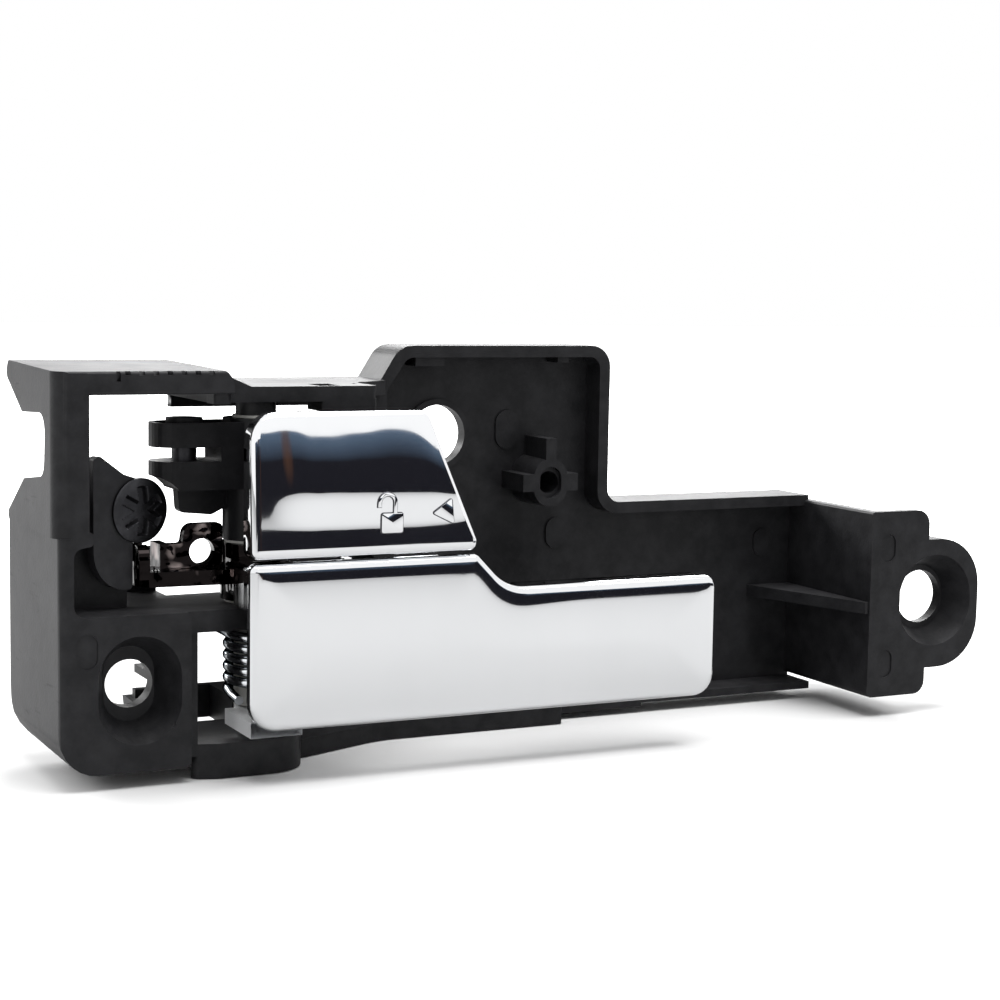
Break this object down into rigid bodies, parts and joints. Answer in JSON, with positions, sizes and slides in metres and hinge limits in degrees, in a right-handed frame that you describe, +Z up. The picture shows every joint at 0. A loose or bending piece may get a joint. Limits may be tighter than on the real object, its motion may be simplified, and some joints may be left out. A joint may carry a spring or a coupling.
{
  "type": "car interior door handle",
  "caption": "Car interior door handle: moulded black housing with a chromed pull lever and a chromed lock lever swinging on one upright pin, with return spring and cable arms.",
  "frame": {"origin": "middle of the footprint, at the level of the lowest point of the housing", "axes": "+X along the housing from the pivot end to the free end of the lever, +Y from the cabin side to the door side, +Z up"},
  "size_m": [0.2054, 0.0464, 0.079],
  "materials": {
    "black_housing": "fine moulded grain",
    "chrome_lever": "bright plated plastic",
    "black_lock": "smooth moulded",
    "chrome_cap": "bright plated plastic",
    "pin_steel": "ground",
    "spring_steel": "bright",
    "acetal": "natural acetal",
    "zinc_wire": "zinc plated wire",
    "black_retainer": "moulded",
    "black_screw": "black plated",
    "insert_brass": "turned",
    "black_rubber": "moulded rubber"
  },
  "bodies": {
    "housing": {"base_frame": "black_housing", "pivot_pin": "pin_steel", "pin_clip": "spring_steel", "return_spring": "zinc_wire", "spring_sleeve": "acetal", "retainer_plate": "black_retainer", "retainer_screw": "black_screw", "screw_insert": "insert_brass", "detent_ball": "spring_steel", "detent_spring": "spring_steel", "rest_pad": "black_rubber", "open_pad": "black_rubber", "thrust_washer_shelf": "acetal", "thrust_washer_middle": "acetal", "thrust_washer_top": "acetal"},
    "lever": {"release_lever": "chrome_lever", "lever_bush_lower": "acetal", "lever_bush_upper": "acetal"},
    "lock": {"lock_carrier": "black_lock", "lock_cap": "chrome_cap", "lock_bush_lower": "acetal", "lock_bush_upper": "acetal", "lock_cable_pin": "pin_steel"}
  },
  "joints": [
    {"name": "lever_pull", "type": "hinge", "parent": "housing", "child": "lever", "pos_m": [-0.0619, -0.00435, 0.03], "axis": [0, 0, -1], "range_deg": [0, 32], "stiffness_Nm_per_rad": 0.8, "springref_deg": -20.05},
    {"name": "lock_swing", "type": "hinge", "parent": "housing", "child": "lock", "pos_m": [-0.0619, -0.00435, 0.055], "axis": [0, 0, 1], "range_deg": [0, 16]}
  ]
}
